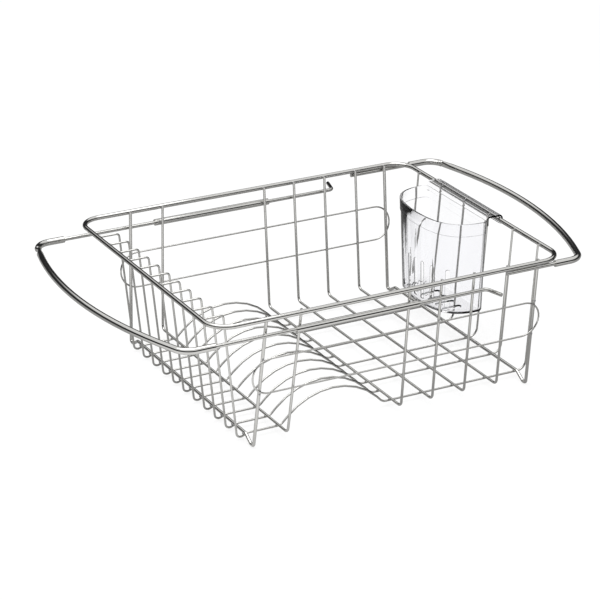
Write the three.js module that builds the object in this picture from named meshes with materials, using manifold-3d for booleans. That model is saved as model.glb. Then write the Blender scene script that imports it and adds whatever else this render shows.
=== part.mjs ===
// Over-the-sink dish rack of welded chrome wire, with one sliding handle, one fixed handle and a
// clear cutlery cup that hangs on the end rim.
// Millimetres, +Z up, +X along the rack towards the fixed handle. The origin lies on the plane that
// the feet stand on, under the middle of the box that the rack fills with the handle part way out.
import * as THREE from 'three';
import { mergeVertices } from 'three/addons/utils/BufferGeometryUtils.js';
import Module from 'manifold-3d';

// Wire and tube diameters
const rimWire = 4.5;
const cornerCrossWire = 3.0;
const innerCrossWire = 2.4;
const baseWire = 1.9;
const sideLoopWire = 1.6;
const handleRod = 3.5;
const handleTube = 6.2;
const sleeveTube = 6.2;

// Clearances
const weldGap = 0.3;
const slideGap = 0.3;
const cupGap = 0.4;

// Basket, measured on wire centre lines
const rimLength = 346;
const rimWidth = 280;
const rimCorner = 20;
const rimHeight = 125;
const footDepth = 5.9;
const footFlat = 5;
const footRun = 10;
const footBend = 2.6;
const floorHalfWidth = 126.5;
const crossBend = 5;
const rimOverlap = 1.5;

// Cross wires: distances along the floor from the rim's sliding end and from its fixed end
const crossFromSlidingEnd = [44, 77];
const crossFromFixedEnd = [155.4, 123.4, 90.3, 56, 24];
const endWireLean = 7;
const leaningWires = 2;

// Base wires
const baseCount = 11;
const basePitch = 21;
const hookReach = 19;
const hookBend = 3.5;
const hookForward = 10;
const dropBend = 4.5;
const dropDip = 3;
const dropRise = 9;
const archHeight = 25;
const archStart = 4;
const archEnd = 7;
const archSlope = 45;
const archFootBend = 8;
const baseTail = 3;
const endWallFoot = 12;
const endWallBend = 9;

// Side loops
const loopPastWire = 6;
const loopHeight = 35;
const loopMiddleZ = 69;

// Handles
const handleReach = 52.5;
const bowRise = 25.5;
const bowFullness = 1.9;
const handleCorner = 16;
const backLegLonger = 15;
const rodInTube = 14;
const slideRodDrop = 15;
const slideTubePastRim = 7;
const stopTravel = 70;
const stopLength = 18;
const stopTurn = 75;
const stopBend = 5;
const sleevePastWire = 6;
const fixedTubeInRim = 1;
const fixedRodPastWire = 3;

// Cutlery cup
const cupLength = 110;
const cupDepth = 47;
const cupHeight = 91.5;
const cupWall = 1.8;
const cupFloor = 2.2;
const cupDraft = 0.93;
const cupRoundness = 2.6;
const cupMiddleY = 20;
const cupEdge = 1;
const cupEdgeHeight = 12;
const lipLength = 108;
const lipThickness = 1.6;
const lipRise = 4.2;
const lipDrop = 10;
const lipBend = 4;
const slotWidth = 4.5;
const slotHeight = 38;
const slotFoot = 5;
const slotCount = 7;
const slotSpread = 130;
const slotOrigin = 15;
const drainWidth = 5;
const drainLength = 20;
const drainPitch = 13;
const drainCount = 6;

// Facets
const wireSides = 6;
const tubeSides = 8;
const bendStep = 24;
const archStep = 11;
const bowStep = 8;
const loopSegments = 5;
const slotSegments = 4;
const cornerSegments = 5;
const cupSegments = 26;
const samePoint = 1e-4;

const radians = THREE.MathUtils.degToRad;
const rimRadius = rimWire / 2;
const rimEnd = rimLength / 2;
const slideTubeEnd = rimEnd + slideTubePastRim;
const fixedTubeEnd = rimEnd - fixedTubeInRim;
const crossPlaces = [
  ...crossFromSlidingEnd.map((distance) => distance - rimEnd),
  ...crossFromFixedEnd.map((distance) => rimEnd - distance),
];
const chrome = { color: 0xc8cbce, roughness: 0.14, metalness: 1 };
const clearPlastic = { color: 0xe9eff4, roughness: 0.08, metalness: 0, transparent: true, opacity: 0.4 };

// A curve whose even steps fall on the given points, so that straight runs need only two of them
class WirePath extends THREE.Curve {
  constructor(points) {
    super();
    this.points = points;
  }

  getPoint(t, target = new THREE.Vector3()) {
    const place = t * (this.points.length - 1);
    const index = Math.min(Math.floor(place), this.points.length - 2);
    return target.lerpVectors(this.points[index], this.points[index + 1], place - index);
  }

  getPointAt(u, target) {
    return this.getPoint(u, target);
  }

  getTangentAt(u, target = new THREE.Vector3()) {
    const last = this.points.length - 1;
    const index = Math.round(u * last);
    const into = this.points[index].clone().sub(this.points[Math.max(index - 1, 0)]).normalize();
    const out = this.points[Math.min(index + 1, last)].clone().sub(this.points[index]).normalize();
    return target.copy(into).add(out).normalize();
  }
}

// Points of a bent wire: straight runs between corners, each corner rounded to its own radius.
// A corner is [x, y, z, radius, degrees per step]; the first and last have no radius.
function bentWire(corners) {
  const places = corners.map(([x, y, z]) => new THREE.Vector3(x, y, z));
  const points = [places[0]];
  for (let i = 1; i < places.length - 1; i++) {
    const radius = corners[i][3];
    const step = corners[i][4] ?? bendStep;
    const into = places[i].clone().sub(places[i - 1]).normalize();
    const out = places[i + 1].clone().sub(places[i]).normalize();
    const turn = into.angleTo(out);
    const inward = out.clone().sub(into).normalize();
    const centre = places[i].clone().addScaledVector(inward, radius / Math.cos(turn / 2));
    const axis = into.clone().cross(out).normalize();
    const spoke = places[i].clone().addScaledVector(into, -radius * Math.tan(turn / 2)).sub(centre);
    const steps = Math.max(2, Math.ceil(THREE.MathUtils.radToDeg(turn) / step));
    for (let k = 0; k <= steps; k++) {
      points.push(spoke.clone().applyAxisAngle(axis, (turn * k) / steps).add(centre));
    }
  }
  points.push(places[places.length - 1]);
  return points;
}

// Regular outline whose flats lie one radius from the middle; flatsAcross turns a flat to each side
function roundOutline(radius, sides, flatsAcross, outline = new THREE.Shape()) {
  const corner = radius / Math.cos(Math.PI / sides);
  const turn = flatsAcross ? Math.PI / sides : 0;
  for (let i = 0; i < sides; i++) {
    const angle = turn + (2 * Math.PI * i) / sides;
    const point = [corner * Math.cos(angle), corner * Math.sin(angle)];
    if (i === 0) outline.moveTo(...point);
    else outline.lineTo(...point);
  }
  outline.closePath();
  return outline;
}

function sweep(corners, outline) {
  const points = bentWire(corners);
  const options = { extrudePath: new WirePath(points), steps: points.length - 1 };
  return new THREE.ExtrudeGeometry(outline, options);
}

function tubeOutline(diameter, bore) {
  const outline = roundOutline(diameter / 2, tubeSides, true);
  outline.holes.push(roundOutline(bore / 2, tubeSides, true, new THREE.Path()));
  return outline;
}

// Flat closed loop of round wire with rounded corners, lying in XY about its own middle
function wireLoop(length, width, corner, diameter, segments) {
  const flat = (diameter / 2) * Math.tan(Math.PI / 8);
  const bevel = diameter / 2 - flat;
  const outline = new THREE.Shape();
  const hole = new THREE.Path();
  roundedRectangle(length + 2 * flat, width + 2 * flat, corner + flat, outline);
  roundedRectangle(length - 2 * flat, width - 2 * flat, corner - flat, hole);
  outline.holes.push(hole);
  const geometry = new THREE.ExtrudeGeometry(outline, {
    depth: 2 * flat,
    bevelSize: bevel,
    bevelThickness: bevel,
    bevelSegments: 1,
    curveSegments: segments,
  });
  return geometry.translate(0, 0, -flat);
}

function roundedRectangle(length, width, corner, outline) {
  const x = length / 2 - corner;
  const y = width / 2 - corner;
  outline.absarc(x, y, corner, 0, Math.PI / 2);
  outline.absarc(-x, y, corner, Math.PI / 2, Math.PI);
  outline.absarc(-x, -y, corner, Math.PI, 1.5 * Math.PI);
  outline.absarc(x, -y, corner, 1.5 * Math.PI, 2 * Math.PI);
  outline.closePath();
}

const rack = new THREE.Group();

function place(name, geometry, finish) {
  const mesh = new THREE.Mesh(geometry, new THREE.MeshStandardMaterial(finish));
  mesh.name = name;
  rack.add(mesh);
  return mesh;
}

// Levels shared by the wires that are welded to each other
const crossUnderside = footDepth;
const baseLevel = crossUnderside - weldGap - baseWire / 2;
const wallFaceTop = rimWidth / 2 - rimRadius - weldGap;
const wallFaceBottom = floorHalfWidth;
const crossTop = rimHeight + rimOverlap;
const wallLean = Math.atan2(wallFaceTop - wallFaceBottom, rimHeight - crossUnderside);
const wallFaceAt = (z) => wallFaceBottom + Math.tan(wallLean) * (z - crossUnderside);
const lastCross = crossPlaces.length - 1;
const isCornerWire = (index) => index === 0 || index === lastCross;
const crossLeanAt = (index, z) => {
  const share = (z - crossUnderside) / (rimHeight - crossUnderside);
  return index < leaningWires ? endWireLean * share : 0;
};

// Rim
const rim = place('rim_wire', wireLoop(rimLength, rimWidth, rimCorner, rimWire, cornerSegments), chrome);
rim.position.z = rimHeight;

// Cross wires: down the front wall, over the floor and up the back wall, inside the rim.
// The two outermost wires dip under the floor just inside each wall, which makes the four feet.
function crossWire(index) {
  const diameter = isCornerWire(index) ? cornerCrossWire : innerCrossWire;
  const floor = crossUnderside + diameter / 2;
  const x = crossPlaces[index];
  const top = [x + crossLeanAt(index, crossTop), wallFaceAt(crossTop) - diameter / 2, crossTop];
  const foot = wallFaceBottom - diameter / 2;
  const footTurns = [
    [x, foot, diameter / 2, footBend],
    [x, foot - footFlat, diameter / 2, footBend],
    [x, foot - footFlat - footRun, floor, footBend],
  ];
  const plainTurn = [[x, foot, floor, crossBend]];
  const back = [top, ...(isCornerWire(index) ? footTurns : plainTurn)];
  const front = back.map(([px, py, pz, radius]) => [px, -py, pz, radius]).reverse();
  return sweep([...back, ...front], roundOutline(diameter / 2, wireSides, false));
}

for (let index = 0; index <= lastCross; index++) {
  place(`cross_wire_${index + 1}`, crossWire(index), chrome);
}

// Base wires: a level hook off the end rim, a drop outside the first cross wire, a run under the
// floor with an arch that parts the plates, and on every other wire a rise to the far end rim.
const rimInside = rimEnd - rimRadius - weldGap;
const endWallStart = crossPlaces[lastCross] + endWallFoot;
const endWallTop = rimInside - baseWire / 2;

function baseWirePath(index) {
  const y = basePitch * ((baseCount - 1) / 2 - index);
  const hookY = y - hookForward;
  const first = crossPlaces[0];
  const dropX = first - cornerCrossWire / 2 - weldGap - baseWire / 2;
  const archFrom = crossPlaces[1] + archStart;
  const archTo = crossPlaces[2] - archEnd;
  const archHalf = (archTo - archFrom) / 2;
  const archTop = archHalf * Math.tan(radians(archSlope));
  const archRadius = (archTop - archHeight) / (1 / Math.cos(radians(archSlope)) - 1);
  const corners = [
    [-rimInside, hookY, rimHeight],
    [-rimInside - baseWire / 2 + hookReach, hookY, rimHeight, hookBend],
    [dropX, y, baseLevel - dropDip, dropBend],
    [first + dropRise, y, baseLevel, dropBend],
    [archFrom, y, baseLevel, archFootBend],
    [archFrom + archHalf, y, baseLevel + archTop, archRadius, archStep],
    [archTo, y, baseLevel, archFootBend],
  ];
  const reachesFarEnd = index % 2 === 0;
  if (reachesFarEnd) {
    corners.push([endWallStart, y, baseLevel, endWallBend]);
    corners.push([endWallTop, y, crossTop]);
  } else {
    corners.push([crossPlaces[2] + baseTail, y, baseLevel]);
  }
  return corners;
}

for (let index = 0; index < baseCount; index++) {
  const name = `base_wire_${String(index + 1).padStart(2, '0')}`;
  place(name, sweep(baseWirePath(index), roundOutline(baseWire / 2, wireSides, true)), chrome);
}

// Side loops, lying on the outside of the front and back walls
const loopFrom = crossPlaces[0] - loopPastWire;
const loopTo = crossPlaces[lastCross] + loopPastWire;

for (const [name, side] of [['front_side_loop', -1], ['back_side_loop', 1]]) {
  const length = loopTo - loopFrom - sideLoopWire;
  const height = loopHeight - sideLoopWire;
  const loop = place(name, wireLoop(length, height, height / 2, sideLoopWire, loopSegments), chrome);
  const stand = (weldGap + sideLoopWire / 2) / Math.cos(wallLean);
  loop.position.set((loopFrom + loopTo) / 2, side * (wallFaceAt(loopMiddleZ) + stand), loopMiddleZ);
  loop.rotation.x = Math.PI / 2 - side * wallLean;
}

// Guide sleeves under the rim, welded outside the second and third cross wires
const slideLevel = rimHeight - slideRodDrop;
const sleeveRadius = sleeveTube / 2;
const sleeveStand = weldGap / Math.cos(wallLean) + sleeveRadius * (1 + Math.tan(wallLean));
const slideSide = wallFaceAt(slideLevel) + sleeveStand;
const sleeveFrom = crossPlaces[1] + crossLeanAt(1, slideLevel) - sleevePastWire;
const sleeveTo = crossPlaces[2] + sleevePastWire;
const slideRodBend = sleeveTo + stopTravel;

for (const [name, side] of [['front_guide_sleeve', -1], ['back_guide_sleeve', 1]]) {
  const corners = [[sleeveFrom, side * slideSide, slideLevel], [sleeveTo, side * slideSide, slideLevel]];
  place(name, sweep(corners, tubeOutline(sleeveTube, handleRod + 2 * slideGap)), chrome);
}

// Handles: a bowed tube whose open ends take the two rods, the back leg a little longer than the
// front one. out is -1 or 1 along X, and end is halfway between the two tube ends.
const legEnd = (end, side) => end + (Math.sign(side) * backLegLonger) / 2;

function handleTubePath(end, out, side, level) {
  const front = legEnd(end, -side);
  const back = legEnd(end, side);
  const corner = handleReach - bowRise;
  const peak = corner + bowFullness * bowRise;
  const spread = Math.atan2(bowFullness * bowRise, side);
  const bowRadius = ((bowFullness - 1) * bowRise) / (1 / Math.cos(spread) - 1);
  return [
    [out * front, -side, level],
    [out * (front + corner), -side, level, handleCorner],
    [out * (end + peak), 0, level, bowRadius, bowStep],
    [out * (back + corner), side, level, handleCorner],
    [out * back, side, level],
  ];
}

const rodOutline = roundOutline(handleRod / 2, tubeSides, true);
const handleOutline = tubeOutline(handleTube, handleRod + 2 * weldGap);
const fixedLevel = rimHeight - rimRadius - weldGap - handleRod / 2;
const fixedSide = rimWidth / 2;

const slidingBow = handleTubePath(slideTubeEnd, -1, slideSide, slideLevel);
const fixedBow = handleTubePath(fixedTubeEnd, 1, fixedSide, fixedLevel);
place('sliding_handle_tube', sweep(slidingBow, handleOutline), chrome);
place('fixed_handle_tube', sweep(fixedBow, handleOutline), chrome);

for (const [name, side] of [['front', -1], ['back', 1]]) {
  const stop = radians(stopTurn);
  const y = side * slideSide;
  const slideRod = [
    [-legEnd(slideTubeEnd, side) - rodInTube, y, slideLevel],
    [slideRodBend, y, slideLevel, stopBend],
    [slideRodBend + stopLength * Math.cos(stop), y + side * stopLength * Math.sin(stop), slideLevel],
  ];
  place(`${name}_slide_rod`, sweep(slideRod, rodOutline), chrome);
  const fixedRod = [
    [crossPlaces[lastCross - 1] - fixedRodPastWire, side * fixedSide, fixedLevel],
    [legEnd(fixedTubeEnd, side) + rodInTube, side * fixedSide, fixedLevel],
  ];
  place(`fixed_handle_${name}_rod`, sweep(fixedRod, rodOutline), chrome);
}

// Cutlery cup: a drafted shell with a flat back, hung by a lip over the end rim
const wasm = await Module();
wasm.setup();

function solidOf(geometry) {
  const bare = geometry.clone();
  bare.deleteAttribute('normal');
  bare.deleteAttribute('uv');
  const merged = mergeVertices(bare, samePoint);
  return new wasm.Manifold(new wasm.Mesh({
    numProp: 3,
    vertProperties: new Float32Array(merged.attributes.position.array),
    triVerts: new Uint32Array(merged.index.array),
  }));
}

function geometryOf(solid) {
  const mesh = solid.getMesh();
  const geometry = new THREE.BufferGeometry();
  geometry.setAttribute('position', new THREE.BufferAttribute(mesh.vertProperties, 3));
  geometry.setIndex(new THREE.BufferAttribute(mesh.triVerts, 1));
  geometry.computeVertexNormals();
  return geometry;
}

// D-shaped outline with its flat on x = 0 and its belly towards -X
function cupOutline(inset, scale) {
  const outline = new THREE.Shape();
  const half = (cupLength / 2) * scale - inset;
  const depth = cupDepth * scale - 2 * inset;
  for (let i = 0; i <= cupSegments; i++) {
    const angle = Math.PI / 2 + (Math.PI * i) / cupSegments;
    const power = 2 / cupRoundness;
    const x = -depth * Math.abs(Math.cos(angle)) ** power - inset;
    const y = Math.sign(Math.sin(angle)) * half * Math.abs(Math.sin(angle)) ** power;
    if (i === 0) outline.moveTo(x, y);
    else outline.lineTo(x, y);
  }
  outline.closePath();
  return outline;
}

// Closed body between two outlines of equal count at two heights
function loft(low, high, bottom, top) {
  const depth = top - bottom;
  const geometry = new THREE.ExtrudeGeometry(low, { depth, bevelEnabled: false, steps: 1 });
  const lowPoints = low.getPoints();
  const highPoints = high.getPoints();
  const position = geometry.attributes.position;
  for (let i = 0; i < position.count; i++) {
    if (position.getZ(i) < depth / 2) continue;
    const nearest = lowPoints.findIndex((point) => {
      return Math.hypot(point.x - position.getX(i), point.y - position.getY(i)) < samePoint;
    });
    position.setXY(i, highPoints[nearest].x, highPoints[nearest].y);
  }
  return geometry.translate(0, 0, bottom);
}

// Upright slot cutter with a round head, reaching outwards from the cup's middle
function slotCutter(angle) {
  const outline = new THREE.Shape();
  const radius = slotWidth / 2;
  outline.moveTo(-radius, 0);
  outline.lineTo(radius, 0);
  outline.absarc(0, slotHeight - radius, radius, 0, Math.PI);
  outline.closePath();
  const options = { depth: cupLength, bevelEnabled: false, curveSegments: slotSegments };
  const cutter = new THREE.ExtrudeGeometry(outline, options);
  cutter.rotateX(Math.PI / 2);
  cutter.rotateZ(-Math.PI / 2);
  return cutter.rotateZ(angle);
}

// Hook that carries the cup: up from the back wall, over the rim and down its outside
function cupLip() {
  const top = cupHeight + lipRise;
  const inside = lipReach - lipThickness;
  const hook = new THREE.Shape();
  hook.moveTo(-cupWall, cupHeight - cupWall);
  hook.lineTo(0, cupHeight - cupWall);
  hook.lineTo(0, top - lipThickness);
  hook.absarc(lipReach - lipBend, top - lipBend, lipBend - lipThickness, Math.PI / 2, 0, true);
  hook.lineTo(inside, top - lipDrop);
  hook.lineTo(lipReach, top - lipDrop);
  hook.absarc(lipReach - lipBend, top - lipBend, lipBend, 0, Math.PI / 2);
  hook.lineTo(-cupWall, top);
  hook.closePath();
  const options = { depth: lipLength, bevelEnabled: false, curveSegments: slotSegments };
  const lip = new THREE.ExtrudeGeometry(hook, options);
  return lip.rotateX(Math.PI / 2).translate(0, lipLength / 2, 0);
}

function cutleryCup() {
  const shell = solidOf(loft(cupOutline(0, cupDraft), cupOutline(0, 1), 0, cupHeight));
  const edgeOutline = cupOutline(-cupEdge, 1);
  const edge = loft(edgeOutline, edgeOutline, cupHeight - cupEdgeHeight, cupHeight);
  const hollowLow = cupOutline(cupWall, cupDraft);
  const hollow = loft(hollowLow, cupOutline(cupWall, 1), cupFloor, cupHeight + cupFloor);
  const outside = shell.add(solidOf(edge.translate(-cupEdge, 0, 0))).add(solidOf(cupLip()));
  let cup = outside.subtract(solidOf(hollow));
  for (let i = 0; i < slotCount; i++) {
    const angle = radians(slotSpread * (i / (slotCount - 1) - 0.5));
    const cutter = slotCutter(angle).translate(-slotOrigin, 0, cupFloor + slotFoot);
    cup = cup.subtract(solidOf(cutter));
  }
  for (let i = 0; i < drainCount; i++) {
    const y = drainPitch * (i - (drainCount - 1) / 2);
    const drain = new THREE.BoxGeometry(drainLength, drainWidth, 2 * cupFloor);
    cup = cup.subtract(solidOf(drain.translate(-cupDepth / 2, y, cupFloor / 2)));
  }
  return geometryOf(cup);
}

// The cup's flat back hangs just clear of the end wall's wires, and its lip just over the rim
const cupBottom = rimHeight + rimRadius + cupGap + lipThickness - lipRise - cupHeight;
const endWallShare = (cupBottom - baseLevel) / (crossTop - baseLevel);
const endWallAtCup = THREE.MathUtils.lerp(endWallStart, endWallTop, endWallShare);
const cupBack = endWallAtCup - baseWire / 2 - cupGap;
const lipReach = rimEnd + rimRadius + cupGap + lipThickness - cupBack;
const cup = place('cutlery_cup', cutleryCup(), clearPlastic);
cup.position.set(cupBack, cupMiddleY, cupBottom);

// The handles reach out unequally, so the whole rack moves to stand centred over the origin
const filled = new THREE.Box3().setFromObject(rack);
rack.position.x = -(filled.min.x + filled.max.x) / 2;

export default rack;
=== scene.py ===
"""Over-the-sink dish rack: bright chrome wire basket, sliding and fixed handles, clear cutlery cup.

Every wire is drawn as a bent centre line, given its thickness and turned into a mesh. The cup is
shaped from a drafted body, hollowed, slotted and hung on the rim by its lip.
"""
import math

import bpy
from mathutils import Matrix, Vector


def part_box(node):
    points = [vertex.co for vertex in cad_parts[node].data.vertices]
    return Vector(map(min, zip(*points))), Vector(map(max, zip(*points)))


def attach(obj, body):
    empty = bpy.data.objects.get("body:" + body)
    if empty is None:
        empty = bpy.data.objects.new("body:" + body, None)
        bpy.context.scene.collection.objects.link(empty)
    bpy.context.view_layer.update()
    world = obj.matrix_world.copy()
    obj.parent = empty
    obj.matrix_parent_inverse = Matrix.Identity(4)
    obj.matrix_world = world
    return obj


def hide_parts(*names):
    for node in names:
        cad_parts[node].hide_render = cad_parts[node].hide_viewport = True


bl_info = {
    "name": "Sink Rack",
    "version": (1, 0, 0),
    "blender": (4, 5, 0),
    "location": "3D View > Sidebar > Sink Rack",
    "description": "Models a chrome wire sink rack with a sliding handle and a clear cutlery cup",
    "category": "Object",
}

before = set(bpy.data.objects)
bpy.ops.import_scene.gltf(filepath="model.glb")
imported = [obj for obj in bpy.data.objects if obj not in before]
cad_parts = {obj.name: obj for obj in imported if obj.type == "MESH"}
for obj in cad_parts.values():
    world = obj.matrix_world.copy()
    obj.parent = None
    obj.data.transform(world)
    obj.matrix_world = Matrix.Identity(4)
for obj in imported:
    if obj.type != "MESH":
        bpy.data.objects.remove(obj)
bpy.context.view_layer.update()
RIM_LOW, RIM_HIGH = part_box("rim_wire")

CROSS_NAMES = [f"cross_wire_{index + 1}" for index in range(7)]
BASE_NAMES = [f"base_wire_{index + 1:02d}" for index in range(11)]
SIDES = (("front", -1.0), ("back", 1.0))

WIRE_SMOOTH = math.radians(40)
CUP_SMOOTH = math.radians(32)
FULL_ROUND = 0.98
SLOT_FOOT_ROUND = 0.4
LOOP_END_ROUND = 0.999
WHITE = (1.0, 1.0, 1.0, 1.0)
FLOOR_BELOW_FEET = 0.0001
FLOOR_GLOW = 0.8
# Outer edge of the painted shade under the rack, as a share of its radius; past it the reflected
# floor fades to the dark room.
PAINTED_SHADE_EDGE = 1.3
TENT_EDGE = 0.06
SENSOR_WIDTH = 36.0


def length(name, default, description):
    """A length that a user may change, in metres."""
    return bpy.props.FloatProperty(
        name=name, description=description, default=default, unit="LENGTH", precision=4
    )


def angle(name, degrees, description):
    """An angle that a user may change."""
    return bpy.props.FloatProperty(
        name=name, description=description, default=math.radians(degrees), subtype="ANGLE"
    )


def number(name, default, description):
    """A plain ratio that a user may change."""
    return bpy.props.FloatProperty(name=name, description=description, default=default)


def count(name, default, description):
    """A whole number that a user may change."""
    return bpy.props.IntProperty(name=name, description=description, default=default, min=1)


def colour(name, default, description):
    """A colour that a user may change."""
    return bpy.props.FloatVectorProperty(
        name=name, description=description, default=default, size=4, min=0.0, max=1.0,
        subtype="COLOR",
    )


class RackWireSizes(bpy.types.PropertyGroup):
    """Diameters of the wires and tubes, and the small gaps between them."""

    rim: length("Rim wire", RIM_HIGH.z - RIM_LOW.z, "Diameter of the rim")
    corner_cross: length("Outer cross wire", 0.0030, "Diameter of the cross wires with feet")
    inner_cross: length("Inner cross wire", 0.0024, "Diameter of the other cross wires")
    base: length("Base wire", 0.0019, "Diameter of the base wires")
    side_loop: length("Side loop wire", 0.0016, "Diameter of the side loops")
    rod: length("Handle rod", 0.0035, "Diameter of the rods of both handles")
    tube: length("Handle tube", 0.0062, "Outside diameter of the bowed handle tubes")
    sleeve: length("Guide sleeve", 0.0062, "Outside diameter of the guide sleeves")
    bore: length("Tube bore", 0.0041, "Bore of the handle tubes and guide sleeves")
    bore_depth: length("Bore depth", 0.016, "How far the open ends are hollow")
    weld_gap: length("Weld gap", 0.0003, "Gap between two welded wires, filled by the bead")
    end_chamfer: number("End chamfer", 0.24, "Chamfer of a cut end, as a share of the radius")


class RackBasketForm(bpy.types.PropertyGroup):
    """Shape of the basket, measured on wire centre lines."""

    rim_corner: length("Rim corner", 0.020, "Radius of the rim's corners")
    rim_overlap: length("Rim overlap", 0.0015, "How far the wires rise past the rim's middle")
    foot_depth: length("Foot depth", 0.0059, "Height of the cross wires' underside")
    foot_flat: length("Foot flat", 0.005, "Level run under each foot")
    foot_run: length("Foot run", 0.010, "Slanting run from the foot to the floor")
    foot_bend: length("Foot bend", 0.0026, "Bend radius at the feet")
    floor_half_width: length("Floor half width", 0.1265, "Middle to the outside of a wall")
    cross_bend: length("Cross bend", 0.005, "Bend radius from floor to wall")
    cross_from_sliding: bpy.props.FloatVectorProperty(
        name="Cross wires, sliding end", description="Distances from the rim's sliding end",
        default=(0.044, 0.077), size=2, unit="LENGTH",
    )
    cross_from_fixed: bpy.props.FloatVectorProperty(
        name="Cross wires, fixed end", description="Distances from the rim's fixed end",
        default=(0.1554, 0.1234, 0.0903, 0.056, 0.024), size=5, unit="LENGTH",
    )
    end_lean: length("End lean", 0.007, "How far the first two cross wires lean at the rim")
    base_pitch: length("Base pitch", 0.021, "Distance between base wires")
    hook_reach: length("Hook reach", 0.019, "Level reach of a hook off the end rim")
    hook_bend: length("Hook bend", 0.0035, "Bend radius of a hook")
    hook_forward: length("Hook step", 0.010, "How far a hook stands in front of its wire")
    drop_bend: length("Drop bend", 0.0045, "Bend radius at the foot of a drop")
    drop_out: length("Drop out", 0.003, "How far the foot of a drop swings out")
    drop_dip: length("Drop dip", 0.0041, "How far a drop dips below the floor wires")
    drop_rise: length("Drop rise", 0.005, "Run from the dip back to the floor")
    arch_height: length("Arch height", 0.025, "Rise of the arches that part the plates")
    arch_start: length("Arch start", 0.004, "Second cross wire to the arch")
    arch_end: length("Arch end", 0.007, "Arch to the third cross wire")
    arch_slope: angle("Arch slope", 45, "Slope of an arch at its ends")
    arch_foot_bend: length("Arch foot bend", 0.008, "Bend radius at the ends of an arch")
    base_tail: length("Base tail", 0.003, "How far a short wire runs past the third cross wire")
    end_wall_foot: length("End wall foot", 0.012, "Last cross wire to the end wall")
    end_wall_bend: length("End wall bend", 0.009, "Bend radius at the end wall")
    loop_past_wire: length("Loop reach", 0.006, "How far a side loop passes the outer wires")
    loop_height: length("Loop height", 0.035, "Height of a side loop")
    loop_middle: length("Loop middle", 0.069, "Height of a side loop's middle")


class RackHandleForm(bpy.types.PropertyGroup):
    """Shape of the two bowed handles, their rods and the guide sleeves."""

    reach: length("Reach", 0.0525, "Tube end to the crown of the bow")
    bow_rise: length("Bow rise", 0.0255, "Rise of the bow over its corners")
    bow_fullness: number("Bow fullness", 1.9, "How round the bow is, from 1 for a point")
    corner: length("Corner", 0.016, "Bend radius of the corners")
    back_leg_longer: length("Back leg", 0.015, "How much longer the back leg is")
    rod_in_tube: length("Rod in tube", 0.014, "How far a rod goes into its tube")
    slide_drop: length("Slide drop", 0.015, "Rim to the sliding handle")
    slide_past_rim: length("Sliding tube end", 0.007, "Rim end to the sliding tube's ends")
    fixed_in_rim: length("Fixed tube end", 0.001, "Fixed tube's ends to the rim end")
    sleeve_past_wire: length("Sleeve reach", 0.006, "How far a sleeve passes its cross wires")
    stop_travel: length("Stop travel", 0.070, "Sleeve end to the bend of a rod's stop")
    stop_length: length("Stop length", 0.018, "Length of the bent stop")
    stop_turn: angle("Stop turn", 75, "Turn of the bent stop")
    stop_bend: length("Stop bend", 0.005, "Bend radius of the stop")
    fixed_rod_past: length("Fixed rod reach", 0.003, "How far a fixed rod passes its wire")


class RackCupForm(bpy.types.PropertyGroup):
    """Shape of the clear cutlery cup."""

    width: length("Width", 0.110, "Width across the flat back at the top")
    depth: length("Depth", 0.047, "Flat back to the belly at the top")
    height: length("Height", 0.0915, "Height to the top edge")
    wall: length("Wall", 0.0012, "Wall thickness")
    floor: length("Floor", 0.0018, "Floor thickness")
    draft: number("Draft", 0.93, "Size of the foot as a share of the top")
    roundness: number("Roundness", 2.6, "Power of the belly's rounded outline")
    middle_y: length("Place", 0.020, "Middle of the cup along the end rim")
    edge: length("Collar", 0.0007, "How far the collar round the top stands out")
    edge_height: length("Collar height", 0.012, "Height of the collar")
    corner: length("Corner", 0.006, "Radius of the upright corners at the back")
    foot_round: length("Foot round", 0.0024, "Radius round the foot and the floor")
    edge_round: length("Edge round", 0.0004, "Radius of the top edge and the collar")
    lip_length: length("Lip length", 0.108, "Length of the lip along the rim")
    lip_thickness: length("Lip thickness", 0.0016, "Thickness of the lip")
    lip_rise: length("Lip rise", 0.0042, "How far the lip rises over the top edge")
    lip_corner: length("Lip corner", 0.006, "Radius of the lip's free corners")
    lip_drop: length("Lip drop", 0.010, "How far the lip hangs outside the rim")
    lip_bend: length("Lip bend", 0.004, "Outer bend radius of the lip")
    hang_gap: length("Hang gap", 0.0004, "Gap between the cup and the wires")
    slot_width: length("Slot width", 0.0045, "Width of a drain slot")
    slot_height: length("Slot height", 0.038, "Height of a drain slot")
    slot_foot: length("Slot foot", 0.005, "Floor to the foot of a slot")
    slot_count: count("Slots", 7, "Drain slots round the belly")
    slot_spread: angle("Slot spread", 130, "Angle that the slots take up")
    slot_origin: length("Slot centre", 0.015, "Flat back to the point the slots fan from")
    drain_count: count("Drains", 6, "Drain slots in the floor")
    drain_width: length("Drain width", 0.005, "Width of a floor drain")
    drain_length: length("Drain length", 0.020, "Length of a floor drain")
    drain_pitch: length("Drain pitch", 0.013, "Distance between floor drains")


class RackFinish(bpy.types.PropertyGroup):
    """Colours and gloss of the rack and its stage."""

    chrome: colour("Chrome", (0.62, 0.615, 0.595, 1.0), "Reflection colour of the chrome")
    weld: colour("Weld", (0.50, 0.50, 0.505, 1.0), "Reflection colour of the weld beads")
    plastic: colour("Clear plastic", (0.984, 0.984, 0.996, 1.0), "Tint of the cup")
    floor: colour("Floor", (0.93, 0.93, 0.93, 1.0), "Floor and backdrop")


class RackSettings(bpy.types.PropertyGroup):
    """All settings of the sink rack."""

    wires: bpy.props.PointerProperty(type=RackWireSizes)
    basket: bpy.props.PointerProperty(type=RackBasketForm)
    handles: bpy.props.PointerProperty(type=RackHandleForm)
    cup: bpy.props.PointerProperty(type=RackCupForm)
    finish: bpy.props.PointerProperty(type=RackFinish)


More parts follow.
